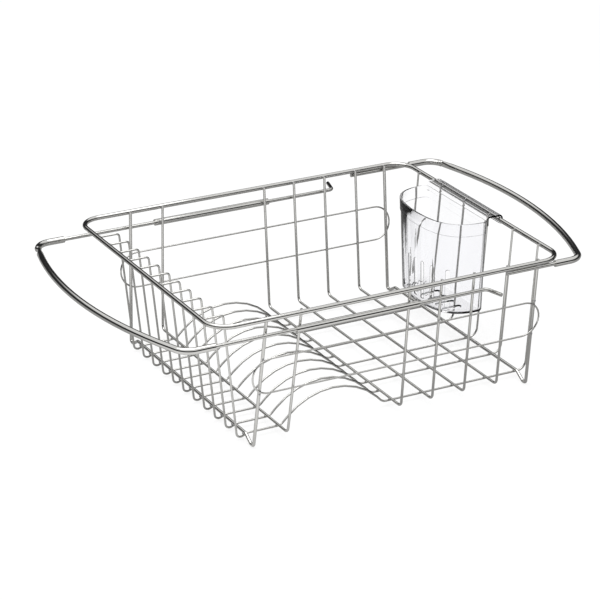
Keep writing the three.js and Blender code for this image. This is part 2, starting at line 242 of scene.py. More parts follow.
class RackLayout:
    """Places that several pieces share, worked out from the settings and the frame's rim."""

    def __init__(self, settings):
        wires = settings.wires
        basket = settings.basket
        handles = settings.handles
        rim_radius = wires.rim / 2
        self.middle = (RIM_LOW.x + RIM_HIGH.x) / 2
        self.rim_half_length = (RIM_HIGH.x - RIM_LOW.x) / 2 - rim_radius
        self.rim_half_width = (RIM_HIGH.y - RIM_LOW.y) / 2 - rim_radius
        self.rim_level = (RIM_LOW.z + RIM_HIGH.z) / 2
        self.sliding_rim = self.middle - self.rim_half_length
        self.fixed_rim = self.middle + self.rim_half_length
        self.cross_underside = basket.foot_depth
        self.base_pitch = basket.base_pitch
        self.base_level = basket.foot_depth - wires.weld_gap - wires.base / 2
        self.wire_top = self.rim_level + basket.rim_overlap
        self.cross_places = [self.sliding_rim + reach for reach in basket.cross_from_sliding]
        self.leaning = len(self.cross_places)
        self.cross_places += [self.fixed_rim - reach for reach in basket.cross_from_fixed]
        self.wall_bottom = basket.floor_half_width
        self.wall_top = self.rim_half_width - rim_radius - wires.weld_gap
        rise = self.rim_level - self.cross_underside
        self.wall_slope = (self.wall_top - self.wall_bottom) / rise
        self.lean_slope = basket.end_lean / rise
        self.rim_inside = self.rim_half_length - rim_radius - wires.weld_gap
        self.end_wall_foot = self.cross_places[-1] + basket.end_wall_foot
        self.end_wall_top = self.middle + self.rim_inside - wires.base / 2
        self.slide_level = self.rim_level - handles.slide_drop
        stand = wires.weld_gap * math.hypot(1.0, self.wall_slope)
        sleeve_stand = stand + wires.sleeve / 2 * (1.0 + self.wall_slope)
        self.slide_side = self.wall_at(self.slide_level) + sleeve_stand
        self.sleeve_from = self.cross_x(1, self.slide_level) - handles.sleeve_past_wire
        self.sleeve_to = self.cross_x(2, self.slide_level) + handles.sleeve_past_wire
        self.fixed_level = self.rim_level - rim_radius - wires.weld_gap - wires.rod / 2
        self.loop_from = self.cross_places[0] - basket.loop_past_wire
        self.loop_to = self.cross_places[-1] + basket.loop_past_wire
        self.loop_stand = (wires.weld_gap + wires.side_loop / 2) * math.hypot(1.0, self.wall_slope)

    def wall_at(self, level):
        """Outside of the long walls at a height."""
        return self.wall_bottom + self.wall_slope * (level - self.cross_underside)

    def cross_x(self, index, level):
        """Place of a cross wire along the rack at a height."""
        lean = self.lean_slope if index < self.leaning else 0.0
        return self.cross_places[index] + lean * (level - self.cross_underside)

    def base_y(self, index):
        """Place of a base wire across the rack, counted from the back."""
        return self.base_pitch * ((len(BASE_NAMES) - 1) / 2 - index)

    def is_long(self, index):
        """True for every other base wire, which goes on to the far end and up to its rim."""
        return index % 2 == 0

    def is_corner(self, index):
        """True for the two outermost cross wires, which have feet."""
        return index in (0, len(self.cross_places) - 1)

    def end_wall_x(self, level):
        """Place of the end wall's wires along the rack at a height."""
        share = (level - self.base_level) / (self.wire_top - self.base_level)
        return self.end_wall_foot + share * (self.end_wall_top - self.end_wall_foot)


def only(piece):
    """Selects one object and makes it active."""
    bpy.ops.object.select_all(action="DESELECT")
    piece.select_set(True)
    bpy.context.view_layer.objects.active = piece
    return piece


def bend(before, corner, after, radius):
    """Two control points with handles that round a corner to a radius."""
    into = (corner - before).normalized()
    out = (after - corner).normalized()
    turn = into.angle(out)
    back = radius * math.tan(turn / 2)
    handle = radius * math.tan(turn / 4) * 4 / 3
    start = corner - into * back
    end = corner + out * back
    return [[start, None, start + into * handle], [end, end - out * handle, None]]


def knots_of(corners, closed):
    """Control points of a bent wire; a corner is (place, radius), and open ends have radius 0."""
    places = [Vector(place) for place, _ in corners]
    knots = []
    for index, (_, radius) in enumerate(corners):
        if radius == 0.0:
            knots.append([places[index], None, None])
            continue
        after = places[(index + 1) % len(places)]
        knots += bend(places[index - 1], places[index], after, radius)
    for index, knot in enumerate(knots):
        before = knots[index - 1] if index or closed else knot
        after = knots[(index + 1) % len(knots)] if index < len(knots) - 1 or closed else knot
        if knot[1] is None:
            knot[1] = knot[0].lerp(before[0], 1 / 3)
        if knot[2] is None:
            knot[2] = knot[0].lerp(after[0], 1 / 3)
    return knots


def draw_line(name, knots, closed, steps):
    """A curve through control points, each a place with its left and right handle."""
    bpy.ops.object.select_all(action="DESELECT")
    bpy.ops.curve.primitive_bezier_curve_add(location=(0.0, 0.0, 0.0))
    piece = bpy.context.object
    piece.name = name
    line = piece.data
    line.splines.clear()
    line.dimensions = "3D"
    line.resolution_u = steps
    spline = line.splines.new("BEZIER")
    spline.bezier_points.add(len(knots) - 1)
    spline.use_cyclic_u = closed
    for point, (place, left, right) in zip(spline.bezier_points, knots):
        point.handle_left_type = "FREE"
        point.handle_right_type = "FREE"
        point.co = place
        point.handle_left = left
        point.handle_right = right
    return only(piece)


def draw_wire(name, corners, diameter, closed=False, steps=8, roundness=4):
    """A round wire along bent corners, as a mesh."""
    line = draw_line(name, knots_of(corners, closed), closed, steps).data
    line.bevel_depth = diameter / 2
    line.bevel_resolution = roundness
    line.use_fill_caps = True
    bpy.ops.object.convert(target="MESH")
    bpy.ops.object.shade_smooth_by_angle(angle=WIRE_SMOOTH)
    return bpy.context.object


def draw_face(name, knots, steps=12):
    """A flat closed outline as a mesh with one face."""
    draw_line(name, knots, True, steps)
    bpy.ops.object.convert(target="MESH")
    bpy.ops.object.mode_set(mode="EDIT")
    bpy.ops.mesh.select_all(action="SELECT")
    bpy.ops.mesh.remove_doubles(threshold=1e-6)
    bpy.ops.mesh.edge_face_add()
    bpy.ops.object.mode_set(mode="OBJECT")
    return bpy.context.object


def draw_prism(name, corners, reach):
    """A closed outline with rounded corners, drawn out along a vector."""
    prism = draw_face(name, knots_of(corners, True), 6)
    bpy.ops.object.mode_set(mode="EDIT")
    bpy.ops.mesh.select_all(action="SELECT")
    bpy.ops.mesh.extrude_region_move(TRANSFORM_OT_translate={"value": reach})
    bpy.ops.mesh.select_all(action="SELECT")
    bpy.ops.mesh.normals_make_consistent(inside=False)
    bpy.ops.object.mode_set(mode="OBJECT")
    return prism


def combine(piece, other, operation):
    """Joins another body into a piece or cuts it away, and removes it."""
    only(piece)
    change = piece.modifiers.new("combine", "BOOLEAN")
    change.operation = operation
    change.solver = "EXACT"
    change.object = other
    bpy.ops.object.modifier_apply(modifier=change.name)
    only(other)
    bpy.ops.object.delete()
    return only(piece)


def join_all(pieces):
    """Joins several objects into the first."""
    only(pieces[0])
    for piece in pieces:
        piece.select_set(True)
    bpy.ops.object.join()
    return bpy.context.object


def select_caps():
    """In edit mode, selects the flat cut ends of a wire."""
    bpy.ops.mesh.select_mode(type="FACE")
    bpy.ops.mesh.select_all(action="DESELECT")
    bpy.ops.mesh.select_face_by_sides(number=4, type="GREATER")


def select_level(piece, level):
    """In edit mode, selects the faces that lie at one height."""
    bpy.ops.mesh.select_mode(type="FACE")
    bpy.ops.mesh.select_all(action="DESELECT")
    bpy.ops.object.mode_set(mode="OBJECT")
    for face in piece.data.polygons:
        face.select = abs(face.center.z - level) < 1e-5
    bpy.ops.object.mode_set(mode="EDIT")


def chamfer_ends(piece, width):
    """Breaks the sharp edge of a wire's cut ends."""
    only(piece)
    bpy.ops.object.mode_set(mode="EDIT")
    select_caps()
    bpy.ops.mesh.region_to_loop()
    bpy.ops.mesh.bevel(offset=width, segments=2, affect="EDGES")
    bpy.ops.object.mode_set(mode="OBJECT")
    return piece


def hollow_ends(piece, wall, depth):
    """Opens a tube's cut ends: insets the wall and pushes the bore in."""
    only(piece)
    bpy.ops.object.mode_set(mode="EDIT")
    select_caps()
    bpy.ops.mesh.inset(thickness=wall, use_individual=True)
    bpy.ops.mesh.extrude_faces_move(TRANSFORM_OT_shrink_fatten={"value": -depth})
    bpy.ops.object.mode_set(mode="OBJECT")
    return piece


def fit_out(piece, body, slot, finish, *nodes):
    """Gives a piece its finish, ties it to its body and hides the nodes that it stands for."""
    piece.data.materials.clear()
    piece.data.materials.append(finish)
    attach(piece, body)
    if nodes:
        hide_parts(*nodes)
    return piece


def surface_group():
    """Node group of fine scratches, smudges and waviness, shared by the metal and the plastic."""
    name = "Surface wear"
    if name in bpy.data.node_groups:
        return bpy.data.node_groups[name]
    group = bpy.data.node_groups.new(name, "ShaderNodeTree")
    sockets = group.interface
    for label, default in (
        ("Smudge scale", 60.0), ("Grain scale", 900.0), ("Low", 0.05), ("High", 0.12),
    ):
        socket = sockets.new_socket(label, in_out="INPUT", socket_type="NodeSocketFloat")
        socket.default_value = default
    sockets.new_socket("Roughness", in_out="OUTPUT", socket_type="NodeSocketFloat")
    sockets.new_socket("Height", in_out="OUTPUT", socket_type="NodeSocketFloat")
    sockets.new_socket("Tone", in_out="OUTPUT", socket_type="NodeSocketFloat")
    nodes, links = group.nodes, group.links
    inputs = nodes.new("NodeGroupInput")
    outputs = nodes.new("NodeGroupOutput")
    place = nodes.new("ShaderNodeTexCoord")
    smudge = nodes.new("ShaderNodeTexNoise")
    smudge.inputs["Detail"].default_value = 4.0
    grain = nodes.new("ShaderNodeTexNoise")
    grain.inputs["Detail"].default_value = 2.0
    blend = nodes.new("ShaderNodeMath")
    blend.operation = "MULTIPLY_ADD"
    blend.inputs[1].default_value = 0.3
    spread = nodes.new("ShaderNodeMapRange")
    for texture, scale in ((smudge, "Smudge scale"), (grain, "Grain scale")):
        links.new(place.outputs["Object"], texture.inputs["Vector"])
        links.new(inputs.outputs[scale], texture.inputs["Scale"])
    links.new(grain.outputs["Fac"], blend.inputs[0])
    links.new(smudge.outputs["Fac"], blend.inputs[2])
    links.new(blend.outputs["Value"], spread.inputs["Value"])
    spread.inputs["From Min"].default_value = 0.4
    spread.inputs["From Max"].default_value = 0.9
    links.new(inputs.outputs["Low"], spread.inputs["To Min"])
    links.new(inputs.outputs["High"], spread.inputs["To Max"])
    links.new(spread.outputs["Result"], outputs.inputs["Roughness"])
    links.new(grain.outputs["Fac"], outputs.inputs["Height"])
    links.new(smudge.outputs["Fac"], outputs.inputs["Tone"])
    return group


def add_surface(material, shader, scales, roughness, bump, tint):
    """Wires the shared surface group into a material's roughness, normal and colour."""
    nodes, links = material.node_tree.nodes, material.node_tree.links
    wear = nodes.new("ShaderNodeGroup")
    wear.node_tree = surface_group()
    wear.inputs["Smudge scale"].default_value = scales[0]
    wear.inputs["Grain scale"].default_value = scales[1]
    wear.inputs["Low"].default_value = roughness[0]
    wear.inputs["High"].default_value = roughness[1]
    links.new(wear.outputs["Roughness"], shader.inputs["Roughness"])
    relief = nodes.new("ShaderNodeBump")
    relief.inputs["Strength"].default_value = bump
    relief.inputs["Distance"].default_value = 0.0002
    links.new(wear.outputs["Height"], relief.inputs["Height"])
    links.new(relief.outputs["Normal"], shader.inputs["Normal"])
    tone = nodes.new("ShaderNodeMix")
    tone.data_type = "RGBA"
    dark, light = tint
    tone.inputs[6].default_value = dark
    tone.inputs[7].default_value = light
    links.new(wear.outputs["Tone"], tone.inputs[0])
    links.new(tone.outputs[2], shader.inputs["Base Color"])


def shade(tone, share):
    """A colour made darker or lighter by a share."""
    return (*[min(1.0, channel * share) for channel in tone[:3]], tone[3])


def metal(name, tone, roughness, bump=0.04):
    """Bright plated metal with fine grain and faint smudges."""
    if name in bpy.data.materials:
        return bpy.data.materials[name]
    material = bpy.data.materials.new(name)
    material.use_nodes = True
    shader = material.node_tree.nodes["Principled BSDF"]
    shader.inputs["Metallic"].default_value = 1.0
    tones = (shade(tone, 0.94), shade(tone, 1.05))
    add_surface(material, shader, (70.0, 1400.0), roughness, bump, tones)
    return material


def polished_chrome(finish):
    """Mirror chrome of the rim and the handles."""
    return metal("polished_chrome", finish.chrome, (0.035, 0.09))


def drawn_chrome(finish):
    """Slightly softer chrome of the thin drawn wires."""
    return metal("drawn_chrome", finish.chrome, (0.07, 0.16), 0.06)


def weld_metal(finish):
    """Plated weld beads, a little duller than the wires."""
    return metal("weld_metal", finish.weld, (0.16, 0.32), 0.12)


def clear_plastic(finish):
    """Clear moulded plastic with faint flow marks."""
    name = "clear_cup_plastic"
    if name in bpy.data.materials:
        return bpy.data.materials[name]
    material = bpy.data.materials.new(name)
    material.use_nodes = True
    shader = material.node_tree.nodes["Principled BSDF"]
    shader.inputs["Transmission Weight"].default_value = 1.0
    shader.inputs["IOR"].default_value = 1.2
    tones = (shade(finish.plastic, 0.99), finish.plastic)
    add_surface(material, shader, (28.0, 500.0), (0.0, 0.012), 0.0, tones)
    return material


class RackOperator:
    """Common ground of the rack's operators."""

    bl_options = {"REGISTER", "UNDO"}

    @property
    def settings(self):
        return bpy.context.scene.sink_rack

    @property
    def places(self):
        return RackLayout(self.settings)


class OBJECT_OT_rack_rim(RackOperator, bpy.types.Operator):
    """Model the closed rim loop"""

    bl_idname = "object.rack_rim"
    bl_label = "Rim"

    def execute(self, context):
        wires = self.settings.wires
        place = self.places
        radius = self.settings.basket.rim_corner
        x, y, z = place.rim_half_length, place.rim_half_width, place.rim_level
        turns = ((1, 1), (-1, 1), (-1, -1), (1, -1))
        corners = [((place.middle + x * sx, y * sy, z), radius) for sx, sy in turns]
        rim = draw_wire("rim", corners, wires.rim, closed=True, steps=14, roundness=8)
        fit_out(rim, "basket", "chrome_wire", polished_chrome(self.settings.finish), "rim_wire")
        return {"FINISHED"}


class OBJECT_OT_rack_cross_wires(RackOperator, bpy.types.Operator):
    """Model the seven U-shaped cross wires, the outermost two with feet"""

    bl_idname = "object.rack_cross_wires"
    bl_label = "Cross Wires"

    def half_of(self, index):
        """Corners of the back half, from the rim down to the floor."""
        wires, basket, place = self.settings.wires, self.settings.basket, self.places
        is_corner = place.is_corner(index)
        radius = (wires.corner_cross if is_corner else wires.inner_cross) / 2
        x = place.cross_places[index]
        floor = place.cross_underside + radius
        foot = place.wall_bottom - radius
        top = place.wire_top
        corners = [((place.cross_x(index, top), place.wall_at(top) - radius, top), 0.0)]
        if not is_corner:
            return corners + [((x, foot, floor), basket.cross_bend)], radius
        flat_end = foot - basket.foot_flat
        corners.append(((x, foot, radius), basket.foot_bend))
        corners.append(((x, flat_end, radius), basket.foot_bend))
        corners.append(((x, flat_end - basket.foot_run, floor), basket.foot_bend))
        return corners, radius

    def execute(self, context):
        finish = drawn_chrome(self.settings.finish)
        chamfer = self.settings.wires.end_chamfer
        for index, name in enumerate(CROSS_NAMES):
            back, radius = self.half_of(index)
            front = [((x, -y, z), turn) for (x, y, z), turn in reversed(back)]
            wire = draw_wire(f"wire_{name}", back + front, 2 * radius, roundness=5)
            chamfer_ends(wire, radius * chamfer)
            fit_out(wire, "basket", "chrome_wire", finish, name)
        return {"FINISHED"}


class OBJECT_OT_rack_base_wires(RackOperator, bpy.types.Operator):
    """Model the hooked and arched base wires that part the plates"""

    bl_idname = "object.rack_base_wires"
    bl_label = "Base Wires"

    def corners_of(self, index):
        """Corners from the hook at the sliding end to the far end."""
        wires, basket, place = self.settings.wires, self.settings.basket, self.places
        y = place.base_y(index)
        hook_y = y - basket.hook_forward
        level = place.base_level
        first = place.cross_places[0]
        beside = wires.corner_cross / 2 + wires.weld_gap + wires.base / 2
        drop_x = first - beside - basket.drop_out
        hook_x = place.middle - place.rim_inside
        arch_from = place.cross_places[1] + basket.arch_start
        arch_to = place.cross_places[2] - basket.arch_end
        arch_half = (arch_to - arch_from) / 2
        peak = arch_half * math.tan(basket.arch_slope)
        arch_radius = (peak - basket.arch_height) / (1 / math.cos(basket.arch_slope) - 1)
        reach = hook_x - wires.base / 2 + basket.hook_reach
        corners = [
            ((hook_x, hook_y, place.rim_level), 0.0),
            ((reach, hook_y, place.rim_level), basket.hook_bend),
            ((drop_x, y, level - basket.drop_dip), basket.drop_bend),
            ((first + basket.drop_rise, y, level), basket.drop_bend),
            ((arch_from, y, level), basket.arch_foot_bend),
            ((arch_from + arch_half, y, level + peak), arch_radius),
            ((arch_to, y, level), basket.arch_foot_bend),
        ]
        if place.is_long(index):
            corners.append(((place.end_wall_foot, y, level), basket.end_wall_bend))
            corners.append(((place.end_wall_top, y, place.wire_top), 0.0))
        else:
            corners.append(((place.cross_places[2] + basket.base_tail, y, level), 0.0))
        return corners

    def execute(self, context):
        wires = self.settings.wires
        finish = drawn_chrome(self.settings.finish)
        for index, name in enumerate(BASE_NAMES):
            wire = draw_wire(f"wire_{name}", self.corners_of(index), wires.base)
            chamfer_ends(wire, wires.base / 2 * wires.end_chamfer)
            fit_out(wire, "basket", "chrome_wire", finish, name)
        return {"FINISHED"}


class OBJECT_OT_rack_side_loops(RackOperator, bpy.types.Operator):
    """Model the long loops on the outside of the two long walls"""

    bl_idname = "object.rack_side_loops"
    bl_label = "Side Loops"

    def execute(self, context):
        wires, basket, place = self.settings.wires, self.settings.basket, self.places
        finish = drawn_chrome(self.settings.finish)
        half_height = (basket.loop_height - wires.side_loop) / 2
        upright = 1.0 / math.hypot(1.0, place.wall_slope)
        x_from = place.loop_from + wires.side_loop / 2
        x_to = place.loop_to - wires.side_loop / 2
        for name, side in SIDES:
            corners = []
            for x, up in ((x_to, 1), (x_from, 1), (x_from, -1), (x_to, -1)):
                z = basket.loop_middle + up * half_height * upright
                y = side * (place.wall_at(z) + place.loop_stand)
                corners.append(((x, y, z), half_height * LOOP_END_ROUND))
            loop = draw_wire(f"{name}_loop", corners, wires.side_loop, closed=True)
            fit_out(loop, "basket", "chrome_wire", finish, f"{name}_side_loop")
        return {"FINISHED"}


class OBJECT_OT_rack_guide_sleeves(RackOperator, bpy.types.Operator):
    """Model the guide sleeves under the rim that the handle's rods slide in"""

    bl_idname = "object.rack_guide_sleeves"
    bl_label = "Guide Sleeves"

    def execute(self, context):
        wires, place = self.settings.wires, self.places
        finish = polished_chrome(self.settings.finish)
        wall = (wires.sleeve - wires.bore) / 2
        for name, side in SIDES:
            y = side * place.slide_side
            ends = [((x, y, place.slide_level), 0.0) for x in (place.sleeve_from, place.sleeve_to)]
            sleeve = draw_wire(f"{name}_sleeve", ends, wires.sleeve, roundness=8)
            hollow_ends(sleeve, wall, wires.bore_depth)
            fit_out(sleeve, "basket", "chrome_wire", finish, f"{name}_guide_sleeve")
        return {"FINISHED"}


def leg_end(form, end, out, way):
    """End of a handle's front or back leg; end is halfway between the two."""
    return end + out * way * form.back_leg_longer / 2


def bow_corners(form, end, out, side, level):
    """Corners of a bowed handle tube; out is -1 or 1 along the rack."""
    front, back = (leg_end(form, end, out, way) for _, way in SIDES)
    corner = form.reach - form.bow_rise
    peak = corner + form.bow_fullness * form.bow_rise
    spread = math.atan2(form.bow_fullness * form.bow_rise, side)
    bow_radius = (form.bow_fullness - 1) * form.bow_rise / (1 / math.cos(spread) - 1)
    return [
        ((front, -side, level), 0.0),
        ((front + out * corner, -side, level), form.corner),
        ((end + out * peak, 0.0, level), bow_radius),
        ((back + out * corner, side, level), form.corner),
        ((back, side, level), 0.0),
    ]


class OBJECT_OT_rack_sliding_handle(RackOperator, bpy.types.Operator):
    """Model the bowed handle that slides, with its rods and their bent stops"""

    bl_idname = "object.rack_sliding_handle"
    bl_label = "Sliding Handle"

    def execute(self, context):
        wires, form, place = self.settings.wires, self.settings.handles, self.places
        finish = polished_chrome(self.settings.finish)
        end = place.sliding_rim - form.slide_past_rim
        level, side = place.slide_level, place.slide_side
        tube = draw_wire(
            "sliding_bow", bow_corners(form, end, -1, side, level), wires.tube,
            steps=18, roundness=8,
        )
        hollow_ends(tube, (wires.tube - wires.bore) / 2, wires.bore_depth)
        fit_out(tube, "sliding_handle", "chrome_wire", finish, "sliding_handle_tube")
        bend_x = place.sleeve_to + form.stop_travel
        stop_x = bend_x + form.stop_length * math.cos(form.stop_turn)
        stop_y = form.stop_length * math.sin(form.stop_turn)
        for name, way in SIDES:
            y = way * side
            corners = [
                ((leg_end(form, end, -1, way) - form.rod_in_tube, y, level), 0.0),
                ((bend_x, y, level), form.stop_bend),
                ((stop_x, y + way * stop_y, level), 0.0),
            ]
            rod = draw_wire(f"{name}_rod", corners, wires.rod, roundness=6)
            chamfer_ends(rod, wires.rod / 2 * wires.end_chamfer)
            fit_out(rod, "sliding_handle", "chrome_wire", finish, f"{name}_slide_rod")
        return {"FINISHED"}


class OBJECT_OT_rack_fixed_handle(RackOperator, bpy.types.Operator):
    """Model the bowed handle that is welded under the rim, with its rods"""

    bl_idname = "object.rack_fixed_handle"
    bl_label = "Fixed Handle"

    def execute(self, context):
        wires, form, place = self.settings.wires, self.settings.handles, self.places
        finish = polished_chrome(self.settings.finish)
        end = place.fixed_rim - form.fixed_in_rim
        level, side = place.fixed_level, place.rim_half_width
        tube = draw_wire(
            "fixed_bow", bow_corners(form, end, 1, side, level), wires.tube, steps=18, roundness=8
        )
        hollow_ends(tube, (wires.tube - wires.bore) / 2, wires.bore_depth)
        fit_out(tube, "basket", "chrome_wire", finish, "fixed_handle_tube")
        start = place.cross_places[-2] - form.fixed_rod_past
        for name, way in SIDES:
            tip = leg_end(form, end, 1, way) + form.rod_in_tube
            ends = [((x, way * side, level), 0.0) for x in (start, tip)]
            rod = draw_wire(f"fixed_{name}_rod", ends, wires.rod, roundness=6)
            chamfer_ends(rod, wires.rod / 2 * wires.end_chamfer)
            fit_out(rod, "basket", "chrome_wire", finish, f"fixed_handle_{name}_rod")
        return {"FINISHED"}


class OBJECT_OT_rack_cup(RackOperator, bpy.types.Operator):
    """Model the clear cutlery cup: a drafted shell with slots, hung by a lip over the rim"""

    bl_idname = "object.rack_cup"
    bl_label = "Cutlery Cup"

    def seat(self):
        """Foot of the flat back where it hangs, and the lip's reach over the rim."""
        wires, form, place = self.settings.wires, self.settings.cup, self.places
        over_rim = wires.rim / 2 + form.hang_gap + form.lip_thickness
        bottom = place.rim_level + over_rim - form.lip_rise - form.height
        back = place.end_wall_x(bottom) - wires.base / 2 - form.hang_gap
        return Vector((back, form.middle_y, bottom)), place.fixed_rim + over_rim - back

    def foot_knots(self, seat):
        """Outline of the foot: a flat back and a full round belly."""
        form = self.settings.cup
        half, depth = form.width / 2 * form.draft, form.depth * form.draft
        fullness = (8 * 0.5 ** (1 / form.roundness) - 4) / 3
        sweep = form.corner + fullness * (depth - form.corner)
        front, back = Vector((0.0, -half, 0.0)), Vector((0.0, half, 0.0))
        out, up = Vector((-depth, 0.0, 0.0)), Vector((0.0, fullness * half, 0.0))
        knots = bend(back, front, front + out, form.corner)
        knots[1][2] = front + Vector((-sweep, 0.0, 0.0))
        knots.append([out, out - up, out + up])
        knots += bend(back + out, back, front, form.corner)
        knots[3][1] = back + Vector((-sweep, 0.0, 0.0))
        flat = (knots[0][0] - knots[4][0]) / 3
        knots[0][1] = knots[0][0] - flat
        knots[4][2] = knots[4][0] + flat
        return [[seat + point for point in knot] for knot in knots]

    def raise_shell(self, seat):
        """The drafted shell with its collar, hollow and rounded edges."""
        form = self.settings.cup
        cup = draw_face("clear_cup", self.foot_knots(seat), 20)
        collar_foot = form.height - form.edge_height

        def size_at(rise):
            return form.draft + (1.0 - form.draft) * rise / form.height

        def extrude(rise, widen_x, widen_y, middle=seat):
            bpy.ops.mesh.extrude_region_move(TRANSFORM_OT_translate={"value": (0.0, 0.0, rise)})
            bpy.ops.transform.resize(value=(widen_x, widen_y, 1.0), center_override=middle)

        bpy.ops.object.mode_set(mode="EDIT")
        bpy.ops.mesh.select_all(action="SELECT")
        share = size_at(collar_foot) / form.draft
        extrude(collar_foot, share, share)
        step = form.edge / size_at(collar_foot)
        inside = seat - Vector((form.corner, 0.0, 0.0))
        extrude(0.0, 1.0 + step / form.depth, 1.0 + 2 * step / form.width, inside)
        share = 1.0 / size_at(collar_foot)
        extrude(form.edge_height, share, share)
        bpy.ops.mesh.inset(thickness=form.wall + form.edge)
        share = size_at(form.floor)
        extrude(form.floor - form.height, share, share)
        bpy.ops.mesh.select_all(action="SELECT")
        bpy.ops.mesh.normals_make_consistent(inside=False)
        select_caps()
        bpy.ops.mesh.region_to_loop()
        bpy.ops.mesh.bevel(offset=form.foot_round, segments=4, affect="EDGES")
        select_level(cup, seat.z + form.height)
        bpy.ops.mesh.region_to_loop()
        bpy.ops.mesh.bevel(offset=form.edge_round, segments=2, affect="EDGES")
        bpy.ops.object.mode_set(mode="OBJECT")
        return cup

    def bend_lip(self, seat, reach):
        """The lip: a bent strip with rounded free corners, given its thickness."""
        form = self.settings.cup
        half = form.lip_thickness / 2
        top = form.height + form.lip_rise - half
        outer = reach - half
        profile = (
            ((-form.wall / 2, top - 2 * form.lip_rise), 0.0),
            ((-form.wall / 2, top), form.lip_bend / 2),
            ((outer, top), form.lip_bend - half),
            ((outer, top + half - form.lip_drop), 0.0),
        )
        start = seat - Vector((0.0, form.lip_length / 2, 0.0))
        corners = [(start + Vector((x, 0.0, z)), radius) for (x, z), radius in profile]
        draw_line("lip", knots_of(corners, False), False, 6)
        bpy.ops.object.convert(target="MESH")
        bpy.ops.object.mode_set(mode="EDIT")
        bpy.ops.mesh.select_all(action="SELECT")
        along = (0.0, form.lip_length, 0.0)
        bpy.ops.mesh.extrude_region_move(TRANSFORM_OT_translate={"value": along})
        bpy.ops.mesh.select_all(action="DESELECT")
        bpy.ops.object.mode_set(mode="OBJECT")
        lip = bpy.context.object
        free = min(point.co.z for point in lip.data.vertices if point.co.x > seat.x + outer / 2)
        for point in lip.data.vertices:
            point.select = point.co.x > seat.x + outer / 2 and point.co.z < free + half
        bpy.ops.object.mode_set(mode="EDIT")
        bpy.ops.mesh.select_mode(type="VERT")
        bpy.ops.mesh.bevel(offset=form.lip_corner, segments=5, affect="VERTICES")
        bpy.ops.object.mode_set(mode="OBJECT")
        thicken = lip.modifiers.new("thicken", "SOLIDIFY")
        thicken.thickness = form.lip_thickness
        thicken.offset = 0.0
        bpy.ops.object.modifier_apply(modifier=thicken.name)
        return lip

    def slot_cutters(self, seat):
        """Upright round-headed slots that fan out through the belly."""
        form = self.settings.cup
        half = form.slot_width / 2
        low = form.floor + form.slot_foot
        cutters = []
        for index in range(form.slot_count):
            turn = form.slot_spread * (index / (form.slot_count - 1) - 0.5)
            out = Vector((-math.cos(turn), math.sin(turn), 0.0))
            across = Vector((math.sin(turn), math.cos(turn), 0.0)) * half
            middle = seat + Vector((-form.slot_origin, 0.0, low)) + out * form.depth / 2
            head = Vector((0.0, 0.0, form.slot_height))
            corners = [
                (middle - across, half * SLOT_FOOT_ROUND),
                (middle + across, half * SLOT_FOOT_ROUND),
                (middle + across + head, half * FULL_ROUND),
                (middle - across + head, half * FULL_ROUND),
            ]
            cutters.append(draw_prism("slot", corners, out * form.width / 2))
        return cutters

    def drain_cutters(self, seat):
        """Round-ended slots through the floor."""
        form = self.settings.cup
        half_length, half = form.drain_length / 2, form.drain_width / 2
        cutters = []
        for index in range(form.drain_count):
            y = form.drain_pitch * (index - (form.drain_count - 1) / 2)
            middle = seat + Vector((-form.depth / 2, y, -form.floor))
            corners = [
                (middle + Vector((x * half_length, side * half, 0.0)), half * FULL_ROUND)
                for x, side in ((1, 1), (-1, 1), (-1, -1), (1, -1))
            ]
            cutters.append(draw_prism("drain", corners, (0.0, 0.0, 3 * form.floor)))
        return cutters

    def execute(self, context):
        seat, reach = self.seat()
        cup = self.raise_shell(seat)
        combine(cup, self.bend_lip(seat, reach), "UNION")
        cutters = join_all(self.slot_cutters(seat) + self.drain_cutters(seat))
        combine(cup, cutters, "DIFFERENCE")
        bpy.ops.object.shade_smooth_by_angle(angle=CUP_SMOOTH)
        finish = clear_plastic(self.settings.finish)
        fit_out(cup, "cup", "clear_plastic", finish, "cutlery_cup")
        return {"FINISHED"}


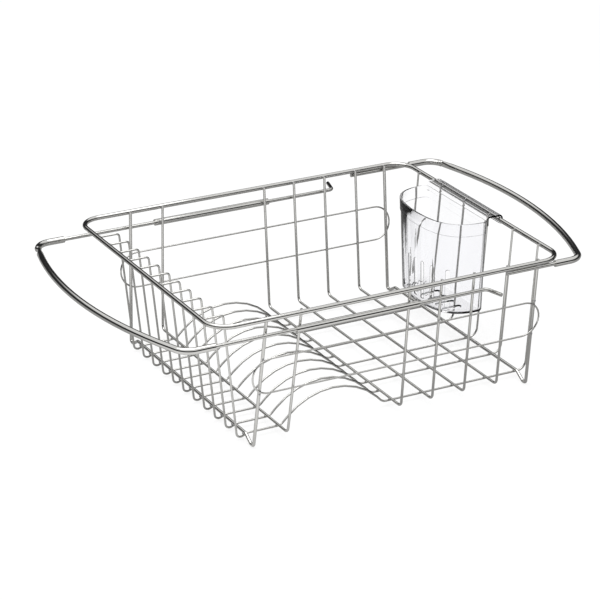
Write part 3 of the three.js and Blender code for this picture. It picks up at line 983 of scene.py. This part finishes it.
class OBJECT_OT_rack_welds(RackOperator, bpy.types.Operator):
    """Model one weld bead and set a copy of it at every crossing of the basket"""

    bl_idname = "object.rack_welds"
    bl_label = "Weld Beads"

    bead: number("Bead size", 0.62, "Radius of a bead as a share of the thinner wire")
    rod_weld: length("Rod weld", 0.004, "Half length of the welds along the fixed rods")

    def floor_welds(self):
        """Base wires under the cross wires, and against the first one."""
        wires, place = self.settings.wires, self.places
        size = wires.base * self.bead
        low = place.cross_underside - wires.weld_gap / 2
        for index in range(len(BASE_NAMES)):
            y = place.base_y(index)
            last = None if place.is_long(index) else 3
            crossings = place.cross_places[1:last]
            yield (place.cross_places[0], y, low - size / 2), (size * 0.8, size * 0.8, size * 1.1)
            for x in crossings:
                yield (x, y, low), (size, size, size * 0.7)

    def end_welds(self):
        """Hooks and end wires against the two end rims."""
        wires, basket, place = self.settings.wires, self.settings.basket, self.places
        size = wires.base * self.bead
        reach = place.rim_inside + wires.weld_gap / 2
        for index in range(len(BASE_NAMES)):
            y = place.base_y(index)
            hook = (place.middle - reach, y - basket.hook_forward, place.rim_level)
            yield hook, (size * 0.7, size * 1.2, size * 1.2)
            if place.is_long(index):
                yield (place.middle + reach, y, place.rim_level), (size * 0.7, size, size * 1.2)

    def wall_welds(self):
        """Cross wires against the rim, the side loops and the guide sleeves."""
        wires, basket, place = self.settings.wires, self.settings.basket, self.places
        loop_half = (basket.loop_height - wires.side_loop) / 2
        cross = wires.inner_cross * self.bead
        loop = wires.side_loop * self.bead
        levels = [(place.rim_level, cross)]
        levels += [(basket.loop_middle + way * loop_half, loop) for way in (-1, 1)]
        for _, way in SIDES:
            for index in range(len(CROSS_NAMES)):
                heights = levels + ([(place.slide_level, cross)] if index in (1, 2) else [])
                for z, size in heights:
                    y = way * (place.wall_at(z) + wires.weld_gap / 2)
                    yield (place.cross_x(index, z), y, z), (size, size * 0.8, size * 1.2)

    def rod_welds(self):
        """The fixed handle's rods along the underside of the rim."""
        wires, place = self.settings.wires, self.places
        size = wires.rod * self.bead
        z = place.fixed_level + wires.rod / 2 + wires.weld_gap / 2
        for _, way in SIDES:
            for x in place.cross_places[-2:]:
                yield (x, way * place.rim_half_width, z), (self.rod_weld, size * 0.7, size * 0.5)

    def execute(self, context):
        places = [*self.floor_welds(), *self.end_welds(), *self.wall_welds(), *self.rod_welds()]
        bpy.ops.object.select_all(action="DESELECT")
        bpy.ops.mesh.primitive_uv_sphere_add(segments=12, ring_count=8, radius=1.0)
        pattern = bpy.context.object
        beads = []
        for place, size in places:
            bead = pattern.copy()
            bead.data = pattern.data.copy()
            bead.location = place
            bead.scale = size
            context.scene.collection.objects.link(bead)
            beads.append(bead)
        only(pattern)
        bpy.ops.object.delete()
        welds = join_all(beads)
        welds.name = "weld_beads"
        bpy.ops.object.transform_apply(location=True, rotation=True, scale=True)
        bpy.ops.object.shade_smooth()
        fit_out(welds, "basket", "chrome_wire", weld_metal(self.settings.finish))
        return {"FINISHED"}


class OBJECT_OT_rack_stage(RackOperator, bpy.types.Operator):
    """Lay the floor, set the lights and stand the camera at the viewing angle"""

    bl_idname = "object.rack_stage"
    bl_label = "Stage"

    floor_size: length("Floor size", 12.0, "Width of the floor")
    # Painted shade under the rack, seen only in reflections: a grey patch of the given radius that
    # pales to white towards the viewer, standing in for the rack's own shadow.
    painted_shade_patch: length("Table", 0.75, "Radius of the grey table that the chrome mirrors")
    painted_shade_colour: colour("Table shade", (0.30, 0.30, 0.30, 1.0), "Table under the rack, mirrored")
    grey_to: length("Grey to", 0.12, "Distance towards the viewer where the table begins to pale")
    white_from: length("White from", 0.22, "Distance towards the viewer where the table is white")
    dark_room: colour("Dark room", (0.03, 0.03, 0.032, 1.0), "Room that the chrome mirrors")
    bright_above: number("Bright above", 0.5, "Height on the unit sky where the white tent begins")
    lamp_length: length("Lamp length", 1.6, "Length of the overhead soft box")
    lamp_width: length("Lamp width", 1.0, "Width of the overhead soft box")
    lamp_power: number("Lamp power", 12.0, "Power of the overhead soft box in watts")
    lamp_place: bpy.props.FloatVectorProperty(
        name="Lamp place", description="Place of the overhead soft box",
        default=(-0.2, 0.1, 1.6), size=3, subtype="XYZ", unit="LENGTH",
    )
    eye: bpy.props.FloatVectorProperty(
        name="Eye", description="Place of the camera", default=(-1.0284, -1.8770, 0.9793),
        size=3, subtype="XYZ", unit="LENGTH",
    )
    target: bpy.props.FloatVectorProperty(
        name="Target", description="Point in the middle of the camera's own axis",
        default=(0.0040, 0.0, 0.0647), size=3, subtype="XYZ", unit="LENGTH",
    )
    roll: angle("Roll", 0.457, "Turn of the camera about its own axis")
    lens: number("Lens", 153.19, "Focal length in millimetres")
    shift_x: number("Shift X", -0.02695, "Sideways shift of the picture")
    shift_y: number("Shift Y", 0.00094, "Upward shift of the picture")

    def lay_floor(self):
        """Pale floor, white to the camera, with painted shade under the rack to reflections, that
        keeps a soft shadow.
        """
        bpy.ops.object.select_all(action="DESELECT")
        middle = (0.0, 0.0, -FLOOR_BELOW_FEET)
        bpy.ops.mesh.primitive_plane_add(size=self.floor_size, location=middle)
        floor = bpy.context.object
        floor.name = "floor"
        bpy.ops.object.transform_apply(location=True, rotation=True, scale=True)
        material = bpy.data.materials.new("pale_floor")
        material.use_nodes = True
        nodes, links = material.node_tree.nodes, material.node_tree.links
        nodes.clear()
        output = nodes.new("ShaderNodeOutputMaterial")
        matt = nodes.new("ShaderNodeBsdfDiffuse")
        matt.inputs["Color"].default_value = self.settings.finish.floor
        glow = nodes.new("ShaderNodeEmission")
        links.new(self.painted_shade_tone(nodes, links), glow.inputs["Color"])
        mix = nodes.new("ShaderNodeMixShader")
        links.new(self.seen_rays(nodes, links, FLOOR_GLOW), mix.inputs["Fac"])
        links.new(matt.outputs["BSDF"], mix.inputs[1])
        links.new(glow.outputs["Emission"], mix.inputs[2])
        links.new(mix.outputs["Shader"], output.inputs["Surface"])
        floor.data.materials.append(material)

    def mirrored(self, nodes, links):
        """One for rays that chrome or plastic has mirrored, nought for the rest."""
        path = nodes.new("ShaderNodeLightPath")
        once = nodes.new("ShaderNodeMath")
        once.operation = "MINIMUM"
        once.inputs[1].default_value = 1.0
        links.new(path.outputs["Glossy Depth"], once.inputs[0])
        return once.outputs["Value"]

    def blend(self, nodes, links, share, first, second):
        """A mix of two colours by a share; a colour may be a value or another node's output."""
        mix = nodes.new("ShaderNodeMix")
        mix.data_type = "RGBA"
        links.new(share, mix.inputs[0])
        for socket, tone in ((mix.inputs[6], first), (mix.inputs[7], second)):
            if isinstance(tone, bpy.types.NodeSocket):
                links.new(tone, socket)
            else:
                socket.default_value = tone
        return mix.outputs[2]

    def painted_shade_tone(self, nodes, links):
        """White; to reflections, a painted shade, grey under the rack and paler towards the viewer,
        that ends in the dark room.
        """
        place = nodes.new("ShaderNodeTexCoord")
        shares = []
        near = Vector(self.eye).to_2d().normalized().to_3d()
        measures = (("LENGTH", None, self.painted_shade_patch, self.painted_shade_patch * PAINTED_SHADE_EDGE),
                    ("DOT_PRODUCT", near, self.grey_to, self.white_from))
        for operation, along, low, high in measures:
            measure = nodes.new("ShaderNodeVectorMath")
            measure.operation = operation
            links.new(place.outputs["Object"], measure.inputs[0])
            if along:
                measure.inputs[1].default_value = along
            ramp = nodes.new("ShaderNodeMapRange")
            ramp.inputs["From Min"].default_value = low
            ramp.inputs["From Max"].default_value = high
            links.new(measure.outputs["Value"], ramp.inputs["Value"])
            shares.append(ramp.outputs["Result"])
        edge, front = shares
        # Painted shade for reflections: grey under and behind the rack, white towards the viewer,
        # fading to the dark room past its edge.
        painted_shade_patch = self.blend(nodes, links, front, self.painted_shade_colour, WHITE)
        painted_shade_patch = self.blend(nodes, links, edge, painted_shade_patch, self.dark_room)
        return self.blend(nodes, links, self.mirrored(nodes, links), WHITE, painted_shade_patch)

    def seen_rays(self, nodes, links, share):
        """A share for rays from the camera, reflections and clear plastic; none for the rest."""
        path = nodes.new("ShaderNodeLightPath")
        total = path.outputs["Is Camera Ray"]
        for ray in ("Is Glossy Ray", "Is Transmission Ray"):
            either = nodes.new("ShaderNodeMath")
            either.operation = "MAXIMUM"
            links.new(total, either.inputs[0])
            links.new(path.outputs[ray], either.inputs[1])
            total = either.outputs["Value"]
        part = nodes.new("ShaderNodeMath")
        part.operation = "MULTIPLY"
        part.inputs[1].default_value = share
        links.new(total, part.inputs[0])
        return part.outputs["Value"]

    def light_world(self):
        """White all round to the camera; a white tent above a dark room to the chrome."""
        world = bpy.data.worlds.new("studio")
        bpy.context.scene.world = world
        world.use_nodes = True
        nodes, links = world.node_tree.nodes, world.node_tree.links
        nodes.clear()
        output = nodes.new("ShaderNodeOutputWorld")
        back = nodes.new("ShaderNodeBackground")
        place = nodes.new("ShaderNodeTexCoord")
        split = nodes.new("ShaderNodeSeparateXYZ")
        links.new(place.outputs["Generated"], split.inputs["Vector"])
        ramp = nodes.new("ShaderNodeValToRGB")
        ramp.color_ramp.elements[0].position = self.bright_above - TENT_EDGE
        ramp.color_ramp.elements[0].color = self.dark_room
        ramp.color_ramp.elements[1].position = self.bright_above + TENT_EDGE
        ramp.color_ramp.elements[1].color = WHITE
        links.new(split.outputs["Z"], ramp.inputs["Fac"])
        sky = self.blend(nodes, links, self.mirrored(nodes, links), WHITE, ramp.outputs["Color"])
        links.new(sky, back.inputs["Color"])
        back.inputs["Strength"].default_value = 1.0
        links.new(back.outputs["Background"], output.inputs["Surface"])

    def hang_lamps(self):
        """A wide soft box overhead."""
        lamp = bpy.data.lights.new("overhead_box", "AREA")
        lamp.shape = "RECTANGLE"
        lamp.size = self.lamp_length
        lamp.size_y = self.lamp_width
        lamp.energy = self.lamp_power
        box = bpy.data.objects.new("overhead_box", lamp)
        box.location = self.lamp_place
        bpy.context.scene.collection.objects.link(box)

    def stand_camera(self):
        """Camera at the viewing angle, framed as the picture is."""
        data = bpy.data.cameras.new("view")
        data.lens = self.lens
        data.sensor_width = SENSOR_WIDTH
        data.shift_x = self.shift_x
        data.shift_y = self.shift_y
        data.clip_end = 100.0
        camera = bpy.data.objects.new("view", data)
        look = Vector(self.target) - Vector(self.eye)
        turn = look.to_track_quat("-Z", "Y").to_matrix().to_4x4()
        camera.matrix_world = (
            Matrix.Translation(Vector(self.eye)) @ turn @ Matrix.Rotation(self.roll, 4, "Z")
        )
        bpy.context.scene.collection.objects.link(camera)
        bpy.context.scene.camera = camera

    def execute(self, context):
        context.scene.view_settings.view_transform = "Standard"
        self.lay_floor()
        self.light_world()
        self.hang_lamps()
        self.stand_camera()
        return {"FINISHED"}


class VIEW3D_PT_sink_rack(bpy.types.Panel):
    """Lists the rack's pieces in the sidebar"""

    bl_label = "Sink Rack"
    bl_space_type = "VIEW_3D"
    bl_region_type = "UI"
    bl_category = "Sink Rack"

    def draw(self, context):
        for operator in PIECES:
            self.layout.operator(operator.bl_idname)


PIECES = (
    OBJECT_OT_rack_rim,
    OBJECT_OT_rack_cross_wires,
    OBJECT_OT_rack_base_wires,
    OBJECT_OT_rack_side_loops,
    OBJECT_OT_rack_guide_sleeves,
    OBJECT_OT_rack_sliding_handle,
    OBJECT_OT_rack_fixed_handle,
    OBJECT_OT_rack_cup,
    OBJECT_OT_rack_welds,
    OBJECT_OT_rack_stage,
)
SETTINGS = (
    RackWireSizes,
    RackBasketForm,
    RackHandleForm,
    RackCupForm,
    RackFinish,
    RackSettings,
)


def register():
    """Adds the rack's settings, operators and panel."""
    for cls in (*SETTINGS, *PIECES, VIEW3D_PT_sink_rack):
        bpy.utils.register_class(cls)
    bpy.types.Scene.sink_rack = bpy.props.PointerProperty(type=RackSettings)


def unregister():
    """Takes the rack's settings, operators and panel away again."""
    del bpy.types.Scene.sink_rack
    for cls in reversed((*SETTINGS, *PIECES, VIEW3D_PT_sink_rack)):
        bpy.utils.unregister_class(cls)


def main():
    """Models every piece and sets the stage."""
    register()
    for operator in PIECES:
        group, name = operator.bl_idname.split(".")
        getattr(getattr(bpy.ops, group), name)()


if __name__ == "__main__":
    main()
